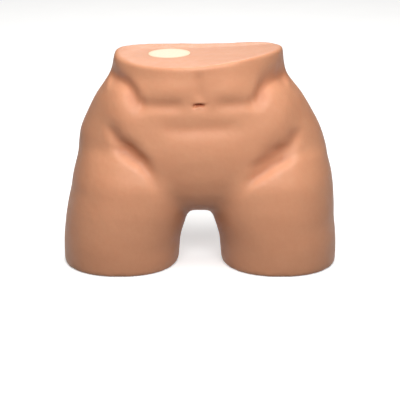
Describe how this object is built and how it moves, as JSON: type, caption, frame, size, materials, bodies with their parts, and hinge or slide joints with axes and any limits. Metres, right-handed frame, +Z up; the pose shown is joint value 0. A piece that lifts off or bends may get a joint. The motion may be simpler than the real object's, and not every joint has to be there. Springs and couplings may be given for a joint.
{
  "type": "lower-torso form",
  "caption": "Free-standing lower-torso form with waist, hips and upper thighs, one soft moulded skin over a foam core, plain smooth crotch.",
  "frame": {"origin": "on the floor under the middle of the form's outline, between the two thighs", "axes": "+X to the form's left side, -Y out of its front, +Z up"},
  "size_m": [0.3478, 0.2083, 0.2676],
  "materials": {
    "skin": "matte",
    "foam": "matte",
    "label": "matte"
  },
  "bodies": {
    "root": {"skin": "skin", "foam_core": "foam", "top_label": "label"}
  },
  "joints": []
}
